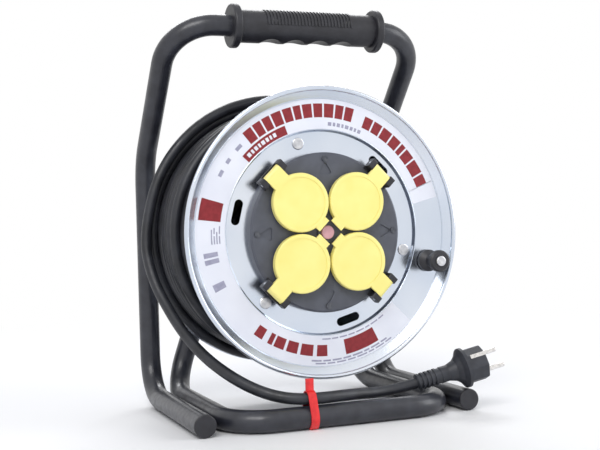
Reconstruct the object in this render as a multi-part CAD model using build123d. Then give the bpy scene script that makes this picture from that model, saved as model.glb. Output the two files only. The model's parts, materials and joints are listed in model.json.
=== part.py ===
from build123d import *
from math import atan2, cos, degrees, radians, sin, tan
import os

os.makedirs("parts", exist_ok=True)

# Extension cord reel. Millimetres. +X right, +Y to the rear, +Z up.
# The origin is on the floor, under the middle of the tubular stand.

# ---- tubular stand and handle
TUBE_R = 10.65            # half-inch pipe, 21.3 mm outside
TUBE_WALL = 1.5
BASE_SPAN = 213.0         # front bar to rear legs, centre to centre
LEG_X = 136.0             # legs, feet and handle corners, from the middle
LEG_BEND_Z = 260.0        # height where a leg starts to lean forward
HANDLE_Z = 389.2
HANDLE_Y = -13.1
FOOT_END_Y = -98.5        # open front end of each foot
STAND_X = 111.0           # arms of the inner stand tube
STAND_TOP_X = 46.0
STAND_TOP_Z = 201.0
FOOT_BEND_R = 42.0
LEAN_BEND_R = 60.0
HANDLE_BEND_R = 47.0
STAND_BEND_R = 40.0
CAP_LIP = 3.0
CAP_PLUG = 12.0

# ---- handle grip
GRIP_R = 16.4
GRIP_X = 7.0              # the grip sits a little to the right of the middle
GRIP_LENGTH = 146.0
COLLAR_R = 22.0
COLLAR_LENGTH = 8.0
GRIP_RIBS = 26
RIB_PITCH = 3.6
RIB_WIDTH = 1.8
RIB_HEIGHT = 0.9
FINGERS = 4
FINGER_PITCH = 26.0
FINGER_R = 22.0
FINGER_DEPTH = 3.0

# ---- drum
DRUM_Z = 181.0            # height of the drum's axis
FRONT_Y = -73.5           # front rim plane of the drum
DRUM_LENGTH = 157.5       # front rim plane to the rear flange's outer face
FLANGE_R = 142.5
SHEET = 1.2
RIM_R = 2.3               # rolled edge of a flange
STEP_Y = 13.0             # inner annulus, behind the rim plane
LABEL_Y = 9.5             # label annulus, behind the rim plane
LABEL_OUT_R = 131.0
OPENING_R = 68.5
CORE_R = 102.0
LABEL_IN_R = CORE_R - SHEET
STEP_R = LABEL_IN_R - 2
SLOT_LENGTH = 25.0
SLOT_WIDTH = 8.5
SLOT_R = 90.0
SLOT_ANGLES = (166, 286, 46)
RIVET_ANGLES = (105, -13, -133)
LABEL_FROM = 22.0         # the label leaves a bare sector around the crank knob
LABEL_SWEEP = 293.0
LABEL_THICK = 0.3

# ---- bearing and fixed axle
AXLE_R = 8.0
AXLE_FIT = 0.06
AXLE_FRONT_Y = -20.0
BAR_THICK = 5.0
BAR_HEIGHT = 30.0
SEAT_GAP = 0.35

# ---- socket plate, sockets and lids
PLATE_R = 78.0
PLATE_FRONT = 2.0         # behind the rim plane
PLATE_THICK = 3.0
SOCKET_PITCH_R = 41.4
SOCKET_ANGLES = (45, 135, 225, 315)
INSERT_R = 25.7
INSERT_DEPTH = 40.0
WELL_R = 19.8             # two-pin earthed socket well
WELL_DEPTH = 17.5
PIN_SPACING = 19.0
PIN_HOLE_R = 2.8
LID_R = 28.5
LID_FRONT = -8.0
LID_SKIN = 2.0
LID_BACK = -1.5
LID_WALL = 2.0
HINGE_R = 80.0
HINGE_Y = -4.0
BARREL_R = 4.0
TAB_WIDTH = 19.0
EAR_WIDTH = 5.5
EAR_GAP = 0.4
HINGE_PIN_R = 1.5
HINGE_FIT = 0.06
BUTTON_R = 6.7
BUTTON_TRAVEL = 2.5

# ---- crank knob
KNOB_X = 112.5
KNOB_Z = -32.0            # from the drum's axis
KNOB_FRONT = -20.0
KNOB_BASE_R = 11.0
KNOB_WAIST_R = 6.0
KNOB_RING_R = 10.8
SPINDLE_R = 4.0
SPINDLE_FIT = 0.08

# ---- cable and plug
CABLE_R = 5.5
WIND_FIT = 0.5
WRAP_R = 144.0            # centre line of the last loop, which hangs off the drum
WRAP_Y = 66.0
PLUG_TIP = (84.0, -88.0, 29.8)     # cable end of the plug's strain relief
PLUG_HEADING = -8.0       # degrees, from +X towards the rear
PLUG_PITCH = 13.2
PLUG_ROLL = 45.0
PLUG_HEAD_R = 20.0
PLUG_PIN_R = 2.4
PLUG_PIN_LENGTH = 19.0
STRAP_X = -36.0
STRAP_WIDTH = 8.0

LEG_Y = BASE_SPAN / 2
REAR_Y = FRONT_Y + DRUM_LENGTH
BAR_BACK_Y = LEG_Y - TUBE_R
BAR_FRONT_Y = BAR_BACK_Y - BAR_THICK


def save(name, *solids):
    shape = solids[0] if len(solids) == 1 else Compound(children=list(solids))
    export_step(shape, f"parts/{name}.step")


def rod(radius, y0, y1, x=0.0, z=0.0, bore=0.0):
    """A round bar along Y; x and z count from the drum's axis."""
    length = y1 - y0
    shape = Cylinder(radius, length)
    if bore:
        shape -= Cylinder(bore, length + 2)
    return Pos(x, (y0 + y1) / 2, DRUM_Z + z) * Rot(90, 0, 0) * shape


def turned(points, arc=360):
    """A solid of revolution about the drum's axis from (radius, y behind the rim plane)."""
    face = make_face(Polyline(*[(r, FRONT_Y + y) for r, y in points], close=True))
    return Pos(0, 0, DRUM_Z) * revolve(face, axis=Axis.Y, revolution_arc=arc)


def round_the_drum(shape, angle):
    """Turns a shape made on the drum's +X side to an angle, counter-clockwise seen from the front."""
    return Pos(0, 0, DRUM_Z) * Rot(0, -angle, 0) * Pos(0, 0, -DRUM_Z) * shape


def block(x0, x1, y0, y1, z0, z1):
    return Pos((x0 + x1) / 2, (y0 + y1) / 2, DRUM_Z + (z0 + z1) / 2) * Box(x1 - x0, y1 - y0, z1 - z0)


def hexagon(across, y0, y1, x=0.0, z=0.0):
    prism = extrude(RegularPolygon(across / 2, 6, major_radius=False), y1 - y0)
    return Pos(x, y1, DRUM_Z + z) * Rot(90, 0, 0) * prism


def bent_tube(points, radii):
    path = FilletPolyline(*points, radius=radii)
    start = Plane(origin=path @ 0, z_dir=path % 0)
    section = start * (Circle(TUBE_R) - Circle(TUBE_R - TUBE_WALL))
    return sweep(section, path=path)


# ---- stand
frame_points = [(LEG_X, FOOT_END_Y, TUBE_R), (LEG_X, LEG_Y, TUBE_R), (LEG_X, LEG_Y, LEG_BEND_Z),
                (LEG_X, HANDLE_Y, HANDLE_Z)]
frame_points += [(-x, y, z) for x, y, z in reversed(frame_points)]
frame_radii = [FOOT_BEND_R, LEAN_BEND_R, HANDLE_BEND_R]
save("frame_tube", bent_tube(frame_points, frame_radii + frame_radii[::-1]))

stand_points = [(STAND_TOP_X, LEG_Y, STAND_TOP_Z), (STAND_X, LEG_Y, TUBE_R), (STAND_X, -LEG_Y, TUBE_R)]
stand_points += [(-x, y, z) for x, y, z in reversed(stand_points)]
save("stand_tube", bent_tube(stand_points, [STAND_BEND_R] * 4))


def end_cap():
    """A push-in cap that looks along +Z, its lip's back face at z = 0."""
    lip = Pos(0, 0, CAP_LIP / 2) * Cylinder(TUBE_R, CAP_LIP)
    lip = fillet(lip.edges().group_by(Axis.Z)[-1], 1.2)
    return lip + Pos(0, 0, -CAP_PLUG / 2) * Cylinder(TUBE_R - TUBE_WALL, CAP_PLUG)


foot_caps = [Pos(side * LEG_X, FOOT_END_Y, TUBE_R) * Rot(90, 0, 0) * end_cap() for side in (-1, 1)]
save("foot_end_caps", *foot_caps)
lean = degrees(atan2(STAND_X - STAND_TOP_X, STAND_TOP_Z - TUBE_R))
arm_caps = []
for side in (-1, 1):
    arm_caps.append(Pos(side * STAND_TOP_X, LEG_Y, STAND_TOP_Z) * Rot(0, -side * lean, 0) * end_cap())
save("stand_end_caps", *arm_caps)

# ---- handle grip
handle = Pos(GRIP_X, HANDLE_Y, HANDLE_Z) * Rot(0, 90, 0)
grip = Cylinder(GRIP_R, GRIP_LENGTH)
for i in range(GRIP_RIBS):
    rib = Pos(0, 0, (i - (GRIP_RIBS - 1) / 2) * RIB_PITCH) * Cylinder(GRIP_R + RIB_HEIGHT, RIB_WIDTH)
    grip += rib & Pos(-GRIP_R, 0, 0) * Box(2 * GRIP_R, 4 * GRIP_R, GRIP_LENGTH)
for i in range(FINGERS):
    groove = Rot(90, 0, 0) * Cylinder(FINGER_R, 4 * GRIP_R)
    grip -= Pos(GRIP_R + FINGER_R - FINGER_DEPTH, 0, (i - (FINGERS - 1) / 2) * FINGER_PITCH) * groove
grip -= Cylinder(TUBE_R, GRIP_LENGTH + 2)
save("handle_grip", handle * grip)
collar = Cylinder(COLLAR_R, COLLAR_LENGTH)
collar = fillet(collar.edges().filter_by(GeomType.CIRCLE), 2) - Cylinder(TUBE_R, COLLAR_LENGTH + 2)
collar_x = (GRIP_LENGTH + COLLAR_LENGTH) / 2
save("grip_collars", handle * Pos(0, 0, -collar_x) * collar, handle * Pos(0, 0, collar_x) * collar)

# ---- cross bar and fixed axle
BOLT_HEAD = 3.5
BOLT_R = 3.0
stand_slope = (STAND_X - STAND_TOP_X) / (STAND_TOP_Z - TUBE_R)
stand_bolt_x = STAND_TOP_X + (STAND_TOP_Z - DRUM_Z) * stand_slope
bolt_places = [(side * x, 0) for side in (-1, 1) for x in (LEG_X, stand_bolt_x)]
bar = block(-LEG_X - 8, LEG_X + 8, BAR_FRONT_Y, BAR_BACK_Y, -BAR_HEIGHT / 2, BAR_HEIGHT / 2)
bar = fillet(bar.edges().filter_by(Axis.Y), 6) - rod(AXLE_R, BAR_FRONT_Y - 1, BAR_BACK_Y + 1)
bolts = []
for x, z in bolt_places:
    bar -= rod(BOLT_R, BAR_FRONT_Y - 1, BAR_BACK_Y + 1, x, z)
    head = hexagon(10, BAR_FRONT_Y - BOLT_HEAD, BAR_FRONT_Y, x, z)
    bolts.append(head + rod(BOLT_R, BAR_FRONT_Y, BAR_BACK_Y, x, z))
save("cross_bar", bar)
save("crossbar_bolts", *bolts)

FLANGE_PLATE_R = 28.0
FLANGE_PLATE = 4.0
plate_back = BAR_BACK_Y + FLANGE_PLATE
save("axle_flange", rod(FLANGE_PLATE_R, BAR_BACK_Y, plate_back, bore=AXLE_R))
NUT_THICK = 8.0
WASHER_THICK = 2.5
sleeve_front = AXLE_FRONT_Y + NUT_THICK + WASHER_THICK + SEAT_GAP
axle = rod(AXLE_R, AXLE_FRONT_Y - 2, plate_back)
save("axle", axle + hexagon(22, plate_back, plate_back + 6))
save("axle_nut", hexagon(24, AXLE_FRONT_Y, AXLE_FRONT_Y + NUT_THICK) - rod(AXLE_R, AXLE_FRONT_Y - 1, 0))
save("axle_washer", rod(16, AXLE_FRONT_Y + NUT_THICK, AXLE_FRONT_Y + NUT_THICK + WASHER_THICK, bore=AXLE_R))
SPACER = 2.5
save("axle_spacer", rod(15, BAR_FRONT_Y - SPACER, BAR_FRONT_Y, bore=AXLE_R))

# ---- drum: flanges, core and bearing
back = DRUM_LENGTH - SHEET
LABEL_BACK = LABEL_Y + SHEET
STEP_BACK = STEP_Y + SHEET
DISH_Y = 2.3              # the flange comes forward again outside the label
RIM_IN_R = FLANGE_R - RIM_R
front = turned([(OPENING_R, STEP_Y), (STEP_R, STEP_Y), (LABEL_IN_R, LABEL_Y), (LABEL_OUT_R, LABEL_Y),
                (RIM_IN_R, DISH_Y - SHEET / 2), (RIM_IN_R, DISH_Y + SHEET / 2), (LABEL_OUT_R, LABEL_BACK),
                (LABEL_IN_R, LABEL_BACK), (STEP_R, STEP_BACK), (OPENING_R, STEP_BACK)])
bead = Pos(0, FRONT_Y + RIM_R, DRUM_Z) * Rot(90, 0, 0) * Torus(RIM_IN_R, RIM_R)
front += bead
for angle in SLOT_ANGLES:
    slot = Pos(SLOT_R, FRONT_Y + STEP_Y, DRUM_Z) * Rot(90, 0, 0) * Rot(0, 0, 90)
    front -= round_the_drum(slot * extrude(SlotOverall(SLOT_LENGTH, SLOT_WIDTH), 5, both=True), angle)

RIVET_R = 3.0
TAB_IN_R = 82.0
TAB_HALF = 7.0
TAB_BACK = STEP_BACK + SHEET
core = turned([(CORE_R - SHEET, LABEL_BACK), (CORE_R, LABEL_BACK), (CORE_R, back), (CORE_R - SHEET, back)])
rivets = []
for angle in RIVET_ANGLES:
    tab = block(TAB_IN_R, CORE_R - SHEET / 2, FRONT_Y + STEP_BACK, FRONT_Y + TAB_BACK, -TAB_HALF, TAB_HALF)
    hole = rod(RIVET_R, FRONT_Y + STEP_Y - 1, FRONT_Y + TAB_BACK + 1, SLOT_R)
    head = rod(2 * RIVET_R, FRONT_Y + STEP_Y - 1.5, FRONT_Y + STEP_Y, SLOT_R)
    head = fillet(head.edges().filter_by(GeomType.CIRCLE).group_by(Axis.Y)[0], 1.2)
    shank = rod(RIVET_R, FRONT_Y + STEP_Y, FRONT_Y + TAB_BACK, SLOT_R)
    core += round_the_drum(tab, angle)
    core -= round_the_drum(hole, angle)
    front -= round_the_drum(hole, angle)
    rivets.append(round_the_drum(head + shank, angle))

BEARING_R = 46.0
BEARING_BOLT_R = 34.0
SLEEVE_R = 14.0
REAR_OPENING_R = 20.0
BORE_R = AXLE_R + AXLE_FIT
bearing_back = BAR_FRONT_Y - SPACER - SEAT_GAP
bearing = rod(BEARING_R, FRONT_Y + back - 6, FRONT_Y + back) + rod(SLEEVE_R, sleeve_front, FRONT_Y + back)
bearing += rod(REAR_OPENING_R - 0.2, FRONT_Y + back, bearing_back)
rear = rod(RIM_IN_R, FRONT_Y + back, REAR_Y, bore=REAR_OPENING_R)
rear += Pos(0, REAR_Y - RIM_R + 0.8, DRUM_Z) * Rot(90, 0, 0) * Torus(RIM_IN_R, RIM_R)
bearing_bolts = []
for angle in range(0, 360, 90):
    hole = rod(2.5, FRONT_Y + back - 7, REAR_Y + 1, BEARING_BOLT_R)
    bearing -= round_the_drum(hole, angle)
    rear -= round_the_drum(hole, angle)
    bolt = rod(2.5, FRONT_Y + back - 6, REAR_Y, BEARING_BOLT_R) + rod(4.5, REAR_Y, REAR_Y + 2, BEARING_BOLT_R)
    bolt += rod(4.5, FRONT_Y + back - 9, FRONT_Y + back - 6, BEARING_BOLT_R)
    bearing_bolts.append(round_the_drum(bolt, angle))
save("hub_bearing", bearing - rod(BORE_R, sleeve_front - 1, bearing_back + 1))
save("rear_flange", rear)
save("bearing_bolts", *bearing_bolts)
save("core_rivets", *rivets)

GROMMET_R = 9.0
INLET_Y = FRONT_Y + 30
inlet = Pos(CORE_R - SHEET / 2, INLET_Y, DRUM_Z) * Rot(0, 90, 0)
core -= inlet * Cylinder(GROMMET_R, 4 * SHEET)
grommet = (inlet * Cylinder(GROMMET_R, 4 * SHEET)) & rod(CORE_R, FRONT_Y, REAR_Y)
grommet += inlet * Pos(0, 0, -2 * SHEET) * Cylinder(GROMMET_R + 3, 2)
save("inlet_grommet", grommet - inlet * Cylinder(CABLE_R, 10 * SHEET))
save("drum_core", core)

# ---- crank knob
washer_y = LABEL_Y - 0.8
SPINDLE_HEAD = 2.0
knob_fit = SPINDLE_R + SPINDLE_FIT
front -= rod(SPINDLE_R, FRONT_Y, FRONT_Y + STEP_BACK, KNOB_X, KNOB_Z)
spindle = rod(SPINDLE_R, FRONT_Y + KNOB_FRONT, FRONT_Y + LABEL_BACK + 2, KNOB_X, KNOB_Z)
spindle_head = rod(5.2, FRONT_Y + KNOB_FRONT - SPINDLE_HEAD, FRONT_Y + KNOB_FRONT, KNOB_X, KNOB_Z)
spindle_head = fillet(spindle_head.edges().filter_by(GeomType.CIRCLE).group_by(Axis.Y)[0], 1.5)
spindle += spindle_head + rod(6.5, FRONT_Y + LABEL_BACK, FRONT_Y + LABEL_BACK + 2, KNOB_X, KNOB_Z)
save("knob_spindle", spindle)
save("knob_washer", rod(9, FRONT_Y + washer_y, FRONT_Y + LABEL_Y, KNOB_X, KNOB_Z, bore=SPINDLE_R))
base_y = washer_y - SEAT_GAP
ring_y = KNOB_FRONT + SEAT_GAP
spool = turned([(knob_fit, base_y), (KNOB_BASE_R, base_y), (KNOB_BASE_R, base_y - 4),
                (KNOB_WAIST_R, base_y - 8), (KNOB_WAIST_R, ring_y + 9.5), (KNOB_RING_R - 1, ring_y + 7),
                (KNOB_RING_R, ring_y + 5.5), (KNOB_RING_R, ring_y + 1.5), (KNOB_RING_R - 1.5, ring_y),
                (knob_fit, ring_y)])
save("knob_sleeve", Pos(KNOB_X, 0, KNOB_Z) * spool)

label_front = LABEL_Y - LABEL_THICK
label = turned([(LABEL_IN_R + 0.5, label_front), (LABEL_OUT_R - 0.5, label_front),
                (LABEL_OUT_R - 0.5, LABEL_Y), (LABEL_IN_R + 0.5, LABEL_Y)], LABEL_SWEEP)
save("label_ring", round_the_drum(label, LABEL_FROM + LABEL_SWEEP))

# ---- socket plate with its reset button
plate_in = PLATE_FRONT + PLATE_THICK
wall_in = PLATE_R - PLATE_THICK
BUTTON_FRONT = -1.5
BUTTON_BACK = 4.0
BUTTON_FIT = 0.25
PLATE_SCREW_R = 71.5
plate = turned([(0, PLATE_FRONT), (PLATE_R - 2, PLATE_FRONT), (PLATE_R, PLATE_FRONT + 2), (PLATE_R, STEP_Y),
                (wall_in, STEP_Y), (wall_in, plate_in), (0, plate_in)])
plate += rod(BUTTON_R + 3, FRONT_Y + 0.5, FRONT_Y + plate_in)
plate -= rod(BUTTON_R + BUTTON_FIT, FRONT_Y, FRONT_Y + plate_in + 1)
recess = fillet(extrude(RegularPolygon(9, 3), 1.2, both=True).edges().filter_by(Axis.Z), 2)
recess = Pos(61, FRONT_Y + PLATE_FRONT, DRUM_Z) * Rot(90, 0, 0) * recess
screws = []
for angle in range(0, 360, 90):
    post = rod(3.4, FRONT_Y + plate_in, FRONT_Y + STEP_Y, PLATE_SCREW_R)
    hole = rod(1.5, FRONT_Y + PLATE_FRONT - 1, FRONT_Y + STEP_BACK + 1, PLATE_SCREW_R)
    screw = rod(1.5, FRONT_Y + PLATE_FRONT, FRONT_Y + STEP_BACK + 2, PLATE_SCREW_R)
    screw += rod(3, FRONT_Y + PLATE_FRONT - 1.2, FRONT_Y + PLATE_FRONT, PLATE_SCREW_R)
    plate = plate + round_the_drum(post, angle) - round_the_drum(hole, angle)
    plate -= round_the_drum(recess, angle)
    front -= round_the_drum(hole, angle)
    screws.append(round_the_drum(screw, angle))
save("plate_screws", *screws)
save("front_flange", front)

CUTOUT_R = 12.0
CUTOUT_BACK = 34.0
STEM_R = 2.5
pocket_back = BUTTON_BACK + BUTTON_TRAVEL + 0.7
button = rod(BUTTON_R, FRONT_Y + BUTTON_FRONT, FRONT_Y + BUTTON_BACK)
button = fillet(button.edges().filter_by(GeomType.CIRCLE).group_by(Axis.Y)[0], 1)
save("reset_button", button + rod(STEM_R, FRONT_Y + BUTTON_BACK, FRONT_Y + BUTTON_BACK + 8))
cutout = rod(CUTOUT_R, FRONT_Y + plate_in, FRONT_Y + CUTOUT_BACK)
cutout -= rod(BUTTON_R + 1, FRONT_Y + plate_in - 1, FRONT_Y + pocket_back)
cutout -= rod(STEM_R + 0.3, FRONT_Y + plate_in, FRONT_Y + BUTTON_BACK + 8 + BUTTON_TRAVEL + 1)
save("thermal_cutout", cutout)

# ---- sockets and lids, made on the +X side and turned to their places
collar_front = LID_FRONT + LID_SKIN + 2.3
well_back = collar_front + WELL_DEPTH
hinge = Pos(HINGE_R, FRONT_Y + HINGE_Y, DRUM_Z)
pin_length = TAB_WIDTH + 2 * (EAR_GAP + EAR_WIDTH)
EAR_REACH = 5.0
CLIP_HALF = 2.5
BRACKET_FOOT = 1.5


def socket_insert():
    body = rod(INSERT_R, FRONT_Y + collar_front, FRONT_Y + INSERT_DEPTH, SOCKET_PITCH_R)
    body += rod(INSERT_R + 1.1, FRONT_Y + plate_in, FRONT_Y + plate_in + 2, SOCKET_PITCH_R)
    body -= rod(WELL_R, FRONT_Y + collar_front - 1, FRONT_Y + well_back, SOCKET_PITCH_R)
    for z in (-PIN_SPACING / 2, PIN_SPACING / 2):
        body -= rod(PIN_HOLE_R, FRONT_Y + well_back - 1, FRONT_Y + well_back + 20, SOCKET_PITCH_R, z)
    return body


def earth_clip(side):
    x = SOCKET_PITCH_R + side * (WELL_R - 0.7)
    return block(x - 0.5, x + 0.5, FRONT_Y + collar_front + 2, FRONT_Y + well_back, -CLIP_HALF, CLIP_HALF)


def lid():
    body = rod(LID_R, FRONT_Y + LID_FRONT, FRONT_Y + LID_BACK, SOCKET_PITCH_R)
    body = fillet(body.edges().filter_by(GeomType.CIRCLE).group_by(Axis.Y)[0], 1.5)
    body -= rod(LID_R - LID_WALL, FRONT_Y + LID_FRONT + LID_SKIN, FRONT_Y, SOCKET_PITCH_R)
    body -= rod(LID_R - 4, FRONT_Y + LID_FRONT - 1, FRONT_Y + LID_FRONT + 0.6, SOCKET_PITCH_R)
    tab_x = SOCKET_PITCH_R + LID_R - LID_WALL + 0.2
    tab_half = TAB_WIDTH / 2
    body += block(tab_x, HINGE_R, FRONT_Y + LID_FRONT, FRONT_Y + LID_FRONT + 3, -tab_half, tab_half)
    thumb_x = SOCKET_PITCH_R - LID_R
    body += block(thumb_x - 4, thumb_x + 1.2, FRONT_Y + LID_FRONT, FRONT_Y + LID_FRONT + LID_SKIN, -7, 7)
    body += hinge * Cylinder(BARREL_R, TAB_WIDTH)
    return body - hinge * Cylinder(HINGE_PIN_R + HINGE_FIT, pin_length)


def hinge_bracket():
    foot_y = FRONT_Y + PLATE_FRONT
    half = pin_length / 2
    body = block(HINGE_R - 7, HINGE_R + EAR_REACH, foot_y - BRACKET_FOOT, foot_y, -half, half)
    for side in (-1, 1):
        ear = Box(2 * EAR_REACH, foot_y - FRONT_Y - LID_FRONT - 0.5, EAR_WIDTH)
        ear = fillet(ear.edges().filter_by(Axis.Z), 1.5)
        ear_y = (foot_y + FRONT_Y + LID_FRONT - 0.5) / 2
        body += Pos(HINGE_R, ear_y, DRUM_Z + side * (pin_length - EAR_WIDTH) / 2) * ear
    return body - hinge * Cylinder(HINGE_PIN_R, pin_length + 2)


gasket_back = FRONT_Y + collar_front - 0.4
gasket_r = LID_R - LID_WALL - 0.5
gasket = rod(gasket_r, FRONT_Y + LID_FRONT + LID_SKIN, gasket_back, SOCKET_PITCH_R, bore=gasket_r - 3)
clips = []
pins = []
for number, angle in enumerate(SOCKET_ANGLES, 1):
    plate -= round_the_drum(rod(INSERT_R, FRONT_Y - 1, FRONT_Y + plate_in + 1, SOCKET_PITCH_R), angle)
    save(f"socket_insert_{number}", round_the_drum(socket_insert(), angle))
    save(f"lid_{number}", round_the_drum(lid(), angle))
    save(f"lid_gasket_{number}", round_the_drum(gasket, angle))
    save(f"hinge_bracket_{number}", round_the_drum(hinge_bracket(), angle))
    clips += [round_the_drum(earth_clip(side), angle) for side in (-1, 1)]
    pins.append(round_the_drum(hinge * Cylinder(HINGE_PIN_R, pin_length), angle))
save("socket_plate", plate)
save("socket_earth_clips", *clips)
save("hinge_pins", *pins)

# ---- wiring behind the sockets
RAIL_THICK = 1.5
RAIL_WIDTH = 8.0
BLOCK_LENGTH = 30.0
BLOCK_DEPTH = 14.0
BLOCK_HEIGHT = 13.0
rail_y = FRONT_Y + INSERT_DEPTH
socket_x = SOCKET_PITCH_R * cos(radians(45))


def rail(side):
    """Joins one pole of all four sockets; the two rails mirror each other."""
    z = socket_x + side * RAIL_WIDTH
    ends = sorted((-side * (socket_x + 2), side * (socket_x + 14)))
    half = RAIL_WIDTH / 2
    link_x = side * (socket_x + 10)
    shape = block(link_x - half, link_x + half, rail_y, rail_y + RAIL_THICK, -z, z)
    for strip_z in (-z, z):
        shape += block(*ends, rail_y, rail_y + RAIL_THICK, strip_z - half, strip_z + half)
    return shape


save("live_rail", rail(1))
save("neutral_rail", rail(-1))
save("terminal_block", block(-BLOCK_LENGTH / 2, BLOCK_LENGTH / 2, FRONT_Y + CUTOUT_BACK,
                             FRONT_Y + CUTOUT_BACK + BLOCK_DEPTH, -BLOCK_HEIGHT / 2, BLOCK_HEIGHT / 2))

# ---- wound cable: the outer shape of all layers, higher towards the rear flange
wind_front = LABEL_BACK + 0.8
wind_back = back - 0.3
wind_top = WRAP_R - CABLE_R - WIND_FIT
layer = 2 * CABLE_R
save("cable_winding", turned([(CORE_R, wind_front), (CORE_R + 0.55 * layer, wind_front),
                              (CORE_R + layer, wind_front + 2.4 * layer),
                              (CORE_R + 1.9 * layer, wind_front + 6 * layer),
                              (wind_top, wind_back - 2.5 * layer), (wind_top, wind_back - CABLE_R),
                              (wind_top - 3, wind_back), (CORE_R, wind_back)]))

# ---- free end of the cable: a loop over the drum, then down and forward to the plug
heading = radians(PLUG_HEADING)
pitch = radians(PLUG_PITCH)
plug_axis = Vector(cos(pitch) * cos(heading), cos(pitch) * sin(heading), sin(pitch))
WRAP_STEP = 30
WRAP_FROM = 60
WRAP_TO = 180


def on_wrap(angle, radius):
    return (radius * cos(radians(angle)), WRAP_Y, DRUM_Z + radius * sin(radians(angle)))


corner_r = WRAP_R / cos(radians(WRAP_STEP / 2))
route = [on_wrap(WRAP_FROM - WRAP_STEP / 2, WRAP_R)]
route += [on_wrap(angle, corner_r) for angle in range(WRAP_FROM, WRAP_TO + 1, WRAP_STEP)]
route += [(-144, 54, 138), (-134, 28, 106), (-125, 0, 82), (-114, -30, 63), (-101, -61, 49), (-85, -82, 38),
          (-66, -97, 30.5), (-45, -105, 27.5), (-24, -105.7, 27.2), (-3, -102, 27), (17, -95.3, 25.9),
          (34, -89, 24.3), (51.7, -86, 24.2)]
tip = Vector(*PLUG_TIP)
route += [tuple(tip - plug_axis * 16), tuple(tip)]


def arc_radii(points):
    """Each corner's arc is as large as its two runs allow."""
    corners = [Vector(*p) for p in points]
    radii = []
    for a, b, c in zip(corners, corners[1:], corners[2:]):
        turn = radians((b - a).get_angle(c - b))
        radii.append(0.45 * min((b - a).length, (c - b).length) / tan(turn / 2))
    return radii


radii = arc_radii(route)
print("cable radii", [round(r) for r in radii])
cable_path = FilletPolyline(*route, radius=radii)
tail = sweep(Plane(origin=cable_path @ 0, z_dir=cable_path % 0) * Circle(CABLE_R), path=cable_path)
section = Circle(CABLE_R).area
print("cable length", round(cable_path.length), "volume ratio", tail.volume / cable_path.length / section)
save("cable_tail", tail)

# ---- plug, along its own +Z from the cable end
HEAD_AT = 50.0
HEAD_LENGTH = 20.0
BODY_AT = 26.0
BOOT_TIP_R = 6.8
BOOT_R = 7.6
BOOT_RIBS = 5
BOOT_PITCH = 4.6
HEAD_FLAT_R = 16.3
EARTH_WIDTH = 5.0
plug = Plane(origin=PLUG_TIP, z_dir=plug_axis).location * Rot(0, 0, PLUG_ROLL)


def spun(points):
    return revolve(make_face(Polyline(*[(r, 0, z) for r, z in points], close=True)), axis=Axis.Z)


boot = spun([(0, 0), (BOOT_TIP_R, 0), (BOOT_R, BODY_AT), (0, BODY_AT)])
for i in range(BOOT_RIBS):
    boot += Pos(0, 0, 2 + i * BOOT_PITCH) * Cylinder(BOOT_R + 0.8, 2.2)
save("plug_boot", plug * boot)

head_end = HEAD_AT + HEAD_LENGTH + 3
body = spun([(0, BODY_AT), (BOOT_R + 0.6, BODY_AT), (BOOT_R + 0.4, BODY_AT + 8), (BOOT_R + 3, HEAD_AT - 8),
             (BOOT_R + 7, HEAD_AT - 3.5), (PLUG_HEAD_R, HEAD_AT), (PLUG_HEAD_R, HEAD_AT + 3),
             (0, HEAD_AT + 3)])
grip_head = extrude(RegularPolygon(HEAD_FLAT_R, 8, major_radius=False), HEAD_LENGTH)
grip_head = fillet(grip_head.edges().filter_by(Axis.Z), 2.5)
grip_head = fillet(grip_head.edges().group_by(Axis.Z)[-1], 1.5)
body += Pos(0, 0, HEAD_AT + 3) * grip_head
earth_clips = []
for side in (-1, 1):
    body -= Pos(side * HEAD_FLAT_R, 0, head_end - 8) * Box(2.4, EARTH_WIDTH, 16)
    earth_clips.append(plug * Pos(side * (HEAD_FLAT_R - 0.7), 0, head_end - 8) * Box(1, EARTH_WIDTH, 16))
save("plug_body", plug * body)
save("plug_earth_clips", *earth_clips)
pin = Pos(0, 0, PLUG_PIN_LENGTH / 2) * Cylinder(PLUG_PIN_R, PLUG_PIN_LENGTH)
pin = fillet(pin.edges().group_by(Axis.Z)[-1], 1.5)
save("plug_pins", *[plug * Pos(0, y, head_end) * pin for y in (-PIN_SPACING / 2, PIN_SPACING / 2)])

# ---- strap that ties the cable to the front bar
STRAP_THICK = 1.2
STRAP_FREE = 12.0
STRAP_FIT = 0.9
bar_at = (-LEG_Y, TUBE_R)
cable_at = (-LEG_Y + 1.6, 2 * TUBE_R + CABLE_R + 0.5)


def strap_outline(grow):
    around_bar = Pos(*bar_at) * Circle(TUBE_R + grow)
    around_cable = Pos(*cable_at) * Circle(CABLE_R + STRAP_FIT + grow)
    return make_hull(around_bar.edges() + around_cable.edges())


band = strap_outline(0.3 + STRAP_THICK) - strap_outline(0.3)
free_z = cable_at[1] + CABLE_R + STRAP_FIT
band += Pos(cable_at[0], free_z + STRAP_FREE / 2 + 0.6) * Rectangle(STRAP_THICK, STRAP_FREE)
strap_plane = Plane(origin=(STRAP_X - STRAP_WIDTH / 2, 0, 0), x_dir=(0, 1, 0), z_dir=(1, 0, 0))
floor_cut = Pos(STRAP_X, -LEG_Y, -STRAP_WIDTH + 0.3) * Box(2 * STRAP_WIDTH, 4 * TUBE_R, 2 * STRAP_WIDTH)
save("cable_strap", extrude(strap_plane * band, STRAP_WIDTH) - floor_cut)
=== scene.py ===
import json
from math import cos, pi, radians, sin

import bmesh
import bpy
from mathutils import Matrix, Vector


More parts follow.
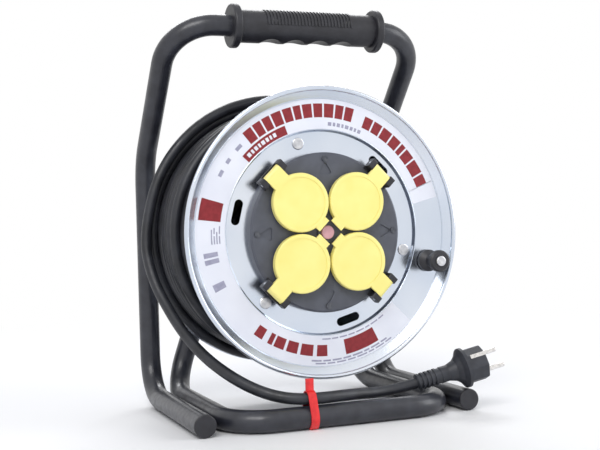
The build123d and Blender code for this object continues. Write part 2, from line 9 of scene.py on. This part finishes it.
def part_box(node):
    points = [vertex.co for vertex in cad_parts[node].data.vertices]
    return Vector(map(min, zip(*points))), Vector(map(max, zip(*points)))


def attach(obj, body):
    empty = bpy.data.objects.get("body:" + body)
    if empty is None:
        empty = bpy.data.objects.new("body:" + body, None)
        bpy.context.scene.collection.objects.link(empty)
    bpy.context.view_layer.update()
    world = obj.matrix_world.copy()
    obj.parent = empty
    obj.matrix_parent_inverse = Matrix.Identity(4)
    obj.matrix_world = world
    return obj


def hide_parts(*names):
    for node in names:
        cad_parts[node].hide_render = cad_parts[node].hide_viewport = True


MM = 0.001
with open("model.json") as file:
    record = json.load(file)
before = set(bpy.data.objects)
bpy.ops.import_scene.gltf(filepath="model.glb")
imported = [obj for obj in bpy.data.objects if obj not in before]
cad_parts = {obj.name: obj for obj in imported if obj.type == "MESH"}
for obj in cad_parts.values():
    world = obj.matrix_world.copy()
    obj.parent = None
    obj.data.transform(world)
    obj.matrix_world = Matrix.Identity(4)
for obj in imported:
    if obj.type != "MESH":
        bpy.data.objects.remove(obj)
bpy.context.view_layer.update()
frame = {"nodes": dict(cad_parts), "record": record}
nodes = frame["nodes"]

# ---- places that the frame gives
FLANGE_LOW, FLANGE_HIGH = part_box("front_flange")
DRUM_Z = (FLANGE_LOW.z + FLANGE_HIGH.z) / 2
RIM_Y = FLANGE_LOW.y                      # front rim plane of the drum
LABEL_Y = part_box("label_ring")[0].y       # front face of the label


# ---- camera: a little to the left of the drum, level with its axis
CAMERA_AT = Vector((-0.3976, -1.0115, 0.1944))
CAMERA_HEADING = radians(21.48)
CAMERA_DIP = radians(0.31)
CAMERA_ROLL = radians(-1.66)
CAMERA_LENS = 63.04

camera = bpy.data.objects.new("camera", bpy.data.cameras.new("camera"))
bpy.context.scene.collection.objects.link(camera)
camera.data.lens = CAMERA_LENS
camera.data.sensor_width = 36
turn = Matrix.Rotation(-CAMERA_HEADING, 4, "Z") @ Matrix.Rotation(pi / 2 - CAMERA_DIP, 4, "X")
camera.matrix_world = Matrix.Translation(CAMERA_AT) @ turn @ Matrix.Rotation(CAMERA_ROLL, 4, "Z")
bpy.context.scene.camera = camera


# ---- helpers for pieces
def link(name, data, body):
    piece = bpy.data.objects.new(name, data)
    bpy.context.scene.collection.objects.link(piece)
    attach(piece, body)
    return piece


def on_drum(angle, radius, y):
    """A point at an angle, counter-clockwise from +X seen from the front."""
    return Vector((radius * cos(angle), y, DRUM_Z + radius * sin(angle)))


# ---- cords
CABLE_D = 11 * MM


def cord_curve(name, points, body, sides=4):
    """A round cord along a route that cuts inside the route's corners."""
    data = bpy.data.curves.new(name, "CURVE")
    data.dimensions = "3D"
    data.bevel_depth = 1.0                # times each point's radius, which the curve's box counts in
    data.bevel_resolution = sides
    data.resolution_u = 6
    data.use_fill_caps = True
    spline = data.splines.new("NURBS")
    spline.points.add(len(points) - 1)
    for point, place in zip(spline.points, points):
        point.co = (*place, 1)
        point.radius = CABLE_D / 2
    spline.order_u = 3
    spline.use_endpoint_u = True
    return link(name, data, body)


# turns so far, place behind the rim plane, radius of the cable's centre, in mm
WIND_STATIONS = ((0, 17, 107.6), (12.0, 149, 107.6), (12.25, 149, 117.2), (19.0, 74, 117.2),
                 (19.3, 92, 126.9), (20.2, 108, 126.9), (23.9, 149, 126.9), (24.15, 149.5, 136.2),
                 (24.9, 149.5, 136.2), (25.1, 143, 142.6))
WIND_FROM = 6.0                           # degrees, where the cable comes out of the core
TURN_POINTS = 16


def wind_point(turns):
    """The route's point after so many turns; its corners stand out so that the cord meets the radius."""
    for (t0, y0, r0), (t1, y1, r1) in zip(WIND_STATIONS, WIND_STATIONS[1:]):
        if turns <= t1:
            share = (turns - t0) / (t1 - t0)
            radius = (r0 + share * (r1 - r0)) / cos(pi / TURN_POINTS)
            angle = radians(WIND_FROM) + 2 * pi * turns
            return on_drum(angle, radius * MM, RIM_Y + (y0 + share * (y1 - y0)) * MM)


last_turn = WIND_STATIONS[-1][0]
steps = int(last_turn * TURN_POINTS)
winding = cord_curve("winding", [wind_point(last_turn * i / steps) for i in range(steps + 1)], "drum")
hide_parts("cable_winding")

# the last loop lies over the drum, then the cable drops, comes forward and lies on the front bar
WRAP_Y = 66 * MM
WRAP_R = 144 * MM
wrap_corner = WRAP_R / cos(radians(15))
route = [on_drum(radians(45), WRAP_R, WRAP_Y)]
route += [on_drum(radians(angle), wrap_corner, WRAP_Y) for angle in range(60, 181, 30)]
route += [Vector(p) * MM for p in (
    (-144, 54, 138), (-134, 28, 106), (-125, 0, 82), (-114, -30, 63), (-101, -61, 49), (-85, -82, 38),
    (-66, -97, 30.5), (-45, -105, 27.5), (-24, -105.7, 27.2), (-3, -102, 27), (17, -95.3, 25.9),
    (34, -89, 24.3), (51.7, -86, 24.2))]
PLUG_TIP = Vector((84.0, -88.0, 29.8)) * MM
PLUG_HEADING = radians(-8.0)
PLUG_PITCH = radians(13.2)
plug_axis = Vector((cos(PLUG_PITCH) * cos(PLUG_HEADING), cos(PLUG_PITCH) * sin(PLUG_HEADING),
                    sin(PLUG_PITCH)))
route += [PLUG_TIP - plug_axis * 16 * MM, PLUG_TIP]
tail = cord_curve("cable", route, "frame", sides=8)
tail.data.resolution_u = 16
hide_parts("cable_tail")


# ---- materials
def material(name, color, rough, metal=0.0, **sockets):
    """A plain shader; other sockets by name, with _ for a space."""
    made = bpy.data.materials.new(name)
    made.use_nodes = True
    shader = made.node_tree.nodes["Principled BSDF"]
    shader.inputs["Base Color"].default_value = (*color, 1)
    shader.inputs["Roughness"].default_value = rough
    shader.inputs["Metallic"].default_value = metal
    for socket, value in sockets.items():
        shader.inputs[socket.replace("_", " ")].default_value = value
    return made


def add(made, kind, **values):
    node = made.node_tree.nodes.new(kind)
    for key, value in values.items():
        node.inputs[key].default_value = value
    return node


def place(made):
    return add(made, "ShaderNodeTexCoord").outputs["Object"]


RAMP_LOW, RAMP_HIGH = 0.35, 0.65         # the part of a noise that a colour ramp is spread over
SPREAD_LOW, SPREAD_HIGH = 0.3, 0.7       # the same for roughness


def vary_color(made, dark, light, scale):
    """The base colour runs between two colours after a noise."""
    links = made.node_tree.links
    texture = add(made, "ShaderNodeTexNoise", Scale=scale)
    links.new(place(made), texture.inputs["Vector"])
    ramp = add(made, "ShaderNodeValToRGB")
    ramp.color_ramp.elements[0].color = (*dark, 1)
    ramp.color_ramp.elements[1].color = (*light, 1)
    ramp.color_ramp.elements[0].position = RAMP_LOW
    ramp.color_ramp.elements[1].position = RAMP_HIGH
    links.new(texture.outputs["Fac"], ramp.inputs["Fac"])
    links.new(ramp.outputs["Color"], made.node_tree.nodes["Principled BSDF"].inputs["Base Color"])


def vary_rough(made, low, high, scale):
    """The roughness runs between two values after a noise."""
    links = made.node_tree.links
    texture = add(made, "ShaderNodeTexNoise", Scale=scale, Detail=3.0)
    links.new(place(made), texture.inputs["Vector"])
    spread = add(made, "ShaderNodeMapRange")
    spread.inputs["From Min"].default_value = SPREAD_LOW
    spread.inputs["From Max"].default_value = SPREAD_HIGH
    spread.inputs["To Min"].default_value = low
    spread.inputs["To Max"].default_value = high
    links.new(texture.outputs["Fac"], spread.inputs["Value"])
    links.new(spread.outputs["Result"], made.node_tree.nodes["Principled BSDF"].inputs["Roughness"])


def bump(made, scale, depth, strength=0.5, detail=4.0):
    """A fine grain on the surface; depth in metres."""
    links = made.node_tree.links
    texture = add(made, "ShaderNodeTexNoise", Scale=scale, Detail=detail)
    links.new(place(made), texture.inputs["Vector"])
    raised = add(made, "ShaderNodeBump", Strength=strength, Distance=depth)
    links.new(texture.outputs["Fac"], raised.inputs["Height"])
    links.new(raised.outputs["Normal"], made.node_tree.nodes["Principled BSDF"].inputs["Normal"])


coated = material("coated_steel", (0.02, 0.021, 0.028), 0.36, Coat_Weight=0.15)
vary_color(coated, (0.016, 0.017, 0.024), (0.028, 0.03, 0.04), 60)
vary_rough(coated, 0.3, 0.44, 180)
bump(coated, 1600, 0.00012, 0.35)

galvanised = material("galvanised_steel", (0.7, 0.75, 0.83), 0.22, 1.0)
vary_color(galvanised, (0.62, 0.68, 0.78), (0.76, 0.8, 0.87), 9)
vary_rough(galvanised, 0.16, 0.26, 14)
bump(galvanised, 35, 0.0003, 0.12, 2.0)

zinc = material("zinc_plated", (0.62, 0.63, 0.66), 0.32, 1.0)
vary_color(zinc, (0.5, 0.51, 0.54), (0.7, 0.7, 0.72), 220)
vary_rough(zinc, 0.25, 0.42, 300)

nickel = material("nickel", (0.75, 0.73, 0.7), 0.2, 1.0)
vary_color(nickel, (0.66, 0.64, 0.62), (0.82, 0.8, 0.78), 350)
vary_rough(nickel, 0.14, 0.28, 500)

dark_screw = material("dark_screw", (0.1, 0.105, 0.12), 0.4, 1.0)
vary_color(dark_screw, (0.08, 0.085, 0.1), (0.13, 0.135, 0.15), 300)

brass = material("brass", (0.7, 0.5, 0.2), 0.3, 1.0)
vary_color(brass, (0.6, 0.42, 0.15), (0.78, 0.58, 0.26), 260)

yellow = material("yellow_plastic", (0.93, 0.83, 0.27), 0.4)
vary_color(yellow, (0.91, 0.81, 0.25), (0.95, 0.85, 0.29), 40)
vary_rough(yellow, 0.3, 0.4, 90)
bump(yellow, 1400, 0.00008, 0.25)

plate_plastic = material("grey_plastic", (0.075, 0.08, 0.1), 0.42)
vary_color(plate_plastic, (0.068, 0.073, 0.092), (0.085, 0.092, 0.115), 70)
bump(plate_plastic, 1800, 0.00015, 0.45)

black_plastic = material("black_plastic", (0.014, 0.014, 0.018), 0.45)
vary_color(black_plastic, (0.011, 0.011, 0.015), (0.02, 0.02, 0.026), 80)
bump(black_plastic, 1500, 0.00015, 0.4)

cable_rubber = material("cable_rubber", (0.014, 0.015, 0.02), 0.42)
vary_color(cable_rubber, (0.011, 0.012, 0.016), (0.024, 0.026, 0.034), 45)
vary_rough(cable_rubber, 0.36, 0.52, 120)
bump(cable_rubber, 900, 0.00012, 0.35)

plug_rubber = material("plug_rubber", (0.022, 0.024, 0.031), 0.5)
vary_color(plug_rubber, (0.018, 0.02, 0.027), (0.03, 0.033, 0.043), 90)
bump(plug_rubber, 1500, 0.0002, 0.5)

seal = material("seal_rubber", (0.03, 0.03, 0.03), 0.7)
vary_color(seal, (0.025, 0.025, 0.025), (0.04, 0.04, 0.04), 120)

pink = material("pink_plastic", (0.74, 0.4, 0.46), 0.4)
vary_color(pink, (0.7, 0.37, 0.43), (0.78, 0.44, 0.5), 120)

red = material("red_plastic", (0.72, 0.012, 0.015), 0.28, Coat_Weight=0.3)
vary_color(red, (0.62, 0.008, 0.012), (0.8, 0.02, 0.022), 160)
bump(red, 700, 0.0003, 0.4)

film = material("label_film", (0.76, 0.78, 0.86), 0.35)
vary_color(film, (0.74, 0.76, 0.84), (0.79, 0.81, 0.88), 30)
bump(film, 240, 0.00004, 0.2)

ink_red = material("ink_red", (0.22, 0.008, 0.014), 0.45)
vary_color(ink_red, (0.2, 0.006, 0.011), (0.25, 0.011, 0.018), 260)

ink_grey = material("ink_grey", (0.32, 0.32, 0.42), 0.4)
vary_color(ink_grey, (0.3, 0.3, 0.4), (0.36, 0.36, 0.47), 260)

FINISHES = {"coated_steel": coated, "galvanised_steel": galvanised, "zinc_plated": zinc, "nickel": nickel,
            "brass": brass, "yellow_plastic": yellow, "grey_plastic": plate_plastic,
            "black_plastic": black_plastic, "pink_plastic": pink, "cable_rubber": cable_rubber,
            "seal_rubber": seal, "label_film": film, "red_plastic": red}


def finish(piece, made):
    piece.data.materials.clear()
    piece.data.materials.append(made)


for part in frame["record"]["subparts"]:
    finish(nodes[part["node"]], FINISHES[part["material_slot"]])
for name in ("plug_body", "plug_boot"):
    finish(nodes[name], plug_rubber)
finish(nodes["plate_screws"], dark_screw)
for piece in (winding, tail):
    finish(piece, cable_rubber)


# ---- generic print on the label: plain arcs and blocks, no lettering
INK_THICK = 0.12 * MM
LABEL_THICK = 0.3 * MM
BLOCK_GAP = 0.9                           # degrees between two blocks


def arc_plate(mesh, low_r, high_r, start, end, back, front):
    """A thin raised patch between two radii and two angles, in mm and degrees."""
    count = max(2, int(abs(end - start) / 1.5) + 1)
    rings = []
    for i in range(count + 1):
        angle = radians(start + (end - start) * i / count)
        rings.append([mesh.verts.new(on_drum(angle, radius * MM, y))
                      for radius, y in ((low_r, back), (high_r, back), (high_r, front), (low_r, front))])
    for a, b in zip(rings, rings[1:]):
        for i in range(4):
            mesh.faces.new((a[i], b[i], b[(i + 1) % 4], a[(i + 1) % 4]))
    mesh.faces.new(rings[0])
    mesh.faces.new(list(reversed(rings[-1])))


def print_rows(name, rows, made, back=LABEL_Y, front=LABEL_Y - INK_THICK):
    """Each row is low radius, high radius, start angle and the blocks' lengths in degrees, clockwise."""
    mesh = bmesh.new()
    for low_r, high_r, start, lengths in rows:
        for length in lengths:
            arc_plate(mesh, low_r, high_r, start, start - length, back, front)
            start -= length + BLOCK_GAP
    bmesh.ops.recalc_face_normals(mesh, faces=mesh.faces)
    data = bpy.data.meshes.new(name)
    mesh.to_mesh(data)
    mesh.free()
    finish(link(name, data, "drum"), made)


TITLE_BLOCKS = (4.6, 4.2, 4.0, 4.8, 4.4, 3.6, 4.6, 4.4, 4.8, 4.0, 4.2)
SECOND_BLOCKS = (4.4, 4.4, 5.2, 5.0, 2.6, 5.2, 6.8, 4.8)
FINE_BLOCKS = (3.4, 4.6, 2.8, 5.0, 3.8, 4.4, 3.6, 4.8)
SMALL_BLOCKS = (2.0, 1.4, 1.8, 1.2, 2.0, 1.6, 1.2, 1.8)
print_rows("label_end", ((101.6, 129.6, 22.2, (7.6,)),), film, LABEL_Y + LABEL_THICK, LABEL_Y)
print_rows("label_title", ((112.5, 126, 130, TITLE_BLOCKS), (111.5, 123.5, 67, SECOND_BLOCKS),
                           (101.8, 110.6, 137.5, (27.5,))), ink_red)
print_rows("label_sub", ((104.4, 108.4, 135.5, SMALL_BLOCKS),), film, LABEL_Y, LABEL_Y - 2 * INK_THICK)
print_rows("label_lines", ((104.6, 108.2, 86, SMALL_BLOCKS), (117, 120.6, 137.5, (3.6,)),
                           (117, 120.6, 145, (2.6,)), (117, 120.6, 152, (3.2,))), ink_grey)
print_rows("label_badge", ((106, 128, 173, (9.5,)),), ink_red)
print_rows("label_marks", (
    (110, 124, 193, (2.2, 2.2)), (112, 124, 205.5, (3.4,)),
    (106, 107.2, 184, (4, 4)), (108.6, 109.8, 184, (6,)), (111.2, 112.4, 184, (4, 3)),
    (113.8, 115, 184, (7,))), ink_grey)
print_rows("label_lower", (
    (110, 121, 236, (4.6,)), (110, 121, 241.4, (2.4,)), (110, 121, 247.6, (5.2,)), (110, 121, 254.6, (5.6,)),
    (110, 121, 262.6, (6.4,)), (110, 121, 270, (5.4,)), (107.5, 122.5, 297, (17.5,))), ink_red)
print_rows("label_small", ((124.6, 126.2, 301, FINE_BLOCKS), (127.4, 128.8, 303, FINE_BLOCKS),
                           (103.6, 105, 306, FINE_BLOCKS)), ink_grey)


# ---- stamped beads on both sides of the label
def bead(name, radius, depth, y):
    """A half-round bead pressed into the sheet, as a torus that lies half in it."""
    bpy.ops.mesh.primitive_torus_add(major_radius=radius, minor_radius=depth, major_segments=160,
                                     minor_segments=10, location=(0, y, DRUM_Z), rotation=(pi / 2, 0, 0))
    ring = bpy.context.object
    ring.name = name
    bpy.ops.object.transform_apply(location=True, rotation=True)
    bpy.ops.object.shade_smooth()
    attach(ring, "drum")
    finish(ring, galvanised)


SHEET_FRONT = LABEL_Y + LABEL_THICK
bead("label_bead_outer", 131.4 * MM, 0.7 * MM, SHEET_FRONT)
bead("label_bead_inner", 100.8 * MM, 0.6 * MM, SHEET_FRONT + 0.2 * MM)


# ---- floor, backdrop and light
FLOOR_NEAR, FLOOR_FAR = 0.3, 1.1          # m from the middle: shaded floor, then plain white


def seen_ray(tree):
    """One for camera, glossy and transmission rays, zero for the light that reaches the object."""
    path = tree.nodes.new("ShaderNodeLightPath")
    value = path.outputs["Is Camera Ray"]
    for other in ("Is Glossy Ray", "Is Transmission Ray"):
        both = tree.nodes.new("ShaderNodeMath")
        both.operation = "MAXIMUM"
        tree.links.new(value, both.inputs[0])
        tree.links.new(path.outputs[other], both.inputs[1])
        value = both.outputs["Value"]
    return value


def floor_material():
    """A white floor that keeps the shadow near the object and goes over into the white backdrop."""
    made = bpy.data.materials.new("floor_white")
    made.use_nodes = True
    tree = made.node_tree
    shader = tree.nodes["Principled BSDF"]
    shader.inputs["Base Color"].default_value = (0.9, 0.9, 0.91, 1)
    shader.inputs["Roughness"].default_value = 0.6
    away = tree.nodes.new("ShaderNodeVectorMath")
    away.operation = "LENGTH"
    tree.links.new(tree.nodes.new("ShaderNodeTexCoord").outputs["Object"], away.inputs[0])
    share = tree.nodes.new("ShaderNodeMapRange")
    share.interpolation_type = "SMOOTHSTEP"
    share.inputs["From Min"].default_value = FLOOR_NEAR
    share.inputs["From Max"].default_value = FLOOR_FAR
    tree.links.new(away.outputs["Value"], share.inputs["Value"])
    seen = tree.nodes.new("ShaderNodeMath")
    seen.operation = "MULTIPLY"
    tree.links.new(share.outputs["Result"], seen.inputs[0])
    tree.links.new(seen_ray(tree), seen.inputs[1])
    white = tree.nodes.new("ShaderNodeEmission")
    mix = tree.nodes.new("ShaderNodeMixShader")
    tree.links.new(seen.outputs["Value"], mix.inputs["Fac"])
    tree.links.new(shader.outputs["BSDF"], mix.inputs[1])
    tree.links.new(white.outputs["Emission"], mix.inputs[2])
    tree.links.new(mix.outputs["Shader"], tree.nodes["Material Output"].inputs["Surface"])
    return made


bpy.ops.mesh.primitive_plane_add(size=8, location=(0, 0, -0.0004))
floor = bpy.context.object
floor.name = "floor"
finish(floor, floor_material())

world = bpy.data.worlds.new("world")
bpy.context.scene.world = world
world.use_nodes = True
sky = world.node_tree
background = sky.nodes["Background"]
background.inputs["Color"].default_value = (0.93, 0.95, 1.0, 1)
background.inputs["Strength"].default_value = 0.5
seen = sky.nodes.new("ShaderNodeBackground")
seen.inputs["Color"].default_value = (1, 1, 1, 1)
seen.inputs["Strength"].default_value = 1.0
mix = sky.nodes.new("ShaderNodeMixShader")
sky.links.new(seen_ray(sky), mix.inputs["Fac"])
sky.links.new(background.outputs["Background"], mix.inputs[1])
sky.links.new(seen.outputs["Background"], mix.inputs[2])
sky.links.new(mix.outputs["Shader"], sky.nodes["World Output"].inputs["Surface"])


def softbox(name, at, target, size, watts, color):
    """A soft lamp that faces the target; places and sizes in metres."""
    lamp = bpy.data.lights.new(name, "AREA")
    lamp.shape = "RECTANGLE"
    lamp.size, lamp.size_y = size
    lamp.energy = watts
    lamp.color = color
    piece = bpy.data.objects.new(name, lamp)
    bpy.context.scene.collection.objects.link(piece)
    piece.location = at
    piece.rotation_euler = (Vector(target) - Vector(at)).to_track_quat("-Z", "Y").to_euler()


softbox("key", (-0.9, -1.3, 1.5), (0, 0, 0.2), (1.2, 0.9), 21, (1, 0.99, 0.98))
softbox("fill", (1.5, -0.9, 0.8), (0, 0, 0.2), (0.9, 1.2), 12, (0.95, 0.97, 1))
softbox("rim", (0.3, 1.4, 1.4), (0, 0, 0.25), (1.4, 0.6), 16, (0.97, 0.98, 1))

view = bpy.context.scene.view_settings
view.view_transform = "Standard"
